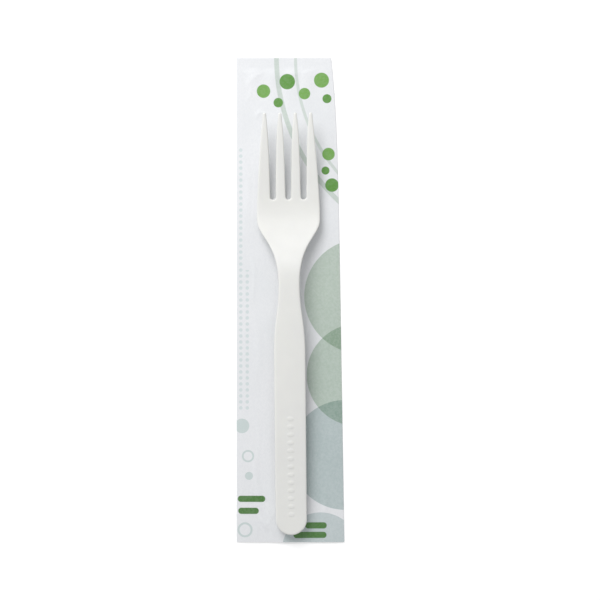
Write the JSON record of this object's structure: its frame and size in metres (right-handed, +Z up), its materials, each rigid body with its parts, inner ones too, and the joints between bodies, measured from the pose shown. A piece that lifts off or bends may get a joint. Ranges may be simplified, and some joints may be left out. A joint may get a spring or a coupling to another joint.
{
  "type": "plastic cutlery pack",
  "caption": "Moulded plastic fork with tapered tines, lying face up on its flat empty film sleeve, which is sealed at the head and open at the foot.",
  "frame": {"origin": "on the surface the pack lies on, under the middle of the sleeve", "axes": "+X across the pack to the fork's right, +Y from the open foot to the sealed head of the sleeve, +Z up out of the surface"},
  "size_m": [0.043, 0.1938, 0.0095],
  "materials": {
    "fork_plastic": "satin moulded white plastic",
    "milky_film": "thin translucent milky film with plain printed fields of green and blue-grey"
  },
  "bodies": {
    "root": {"fork": "fork_plastic", "film_sleeve": "milky_film"}
  },
  "joints": []
}
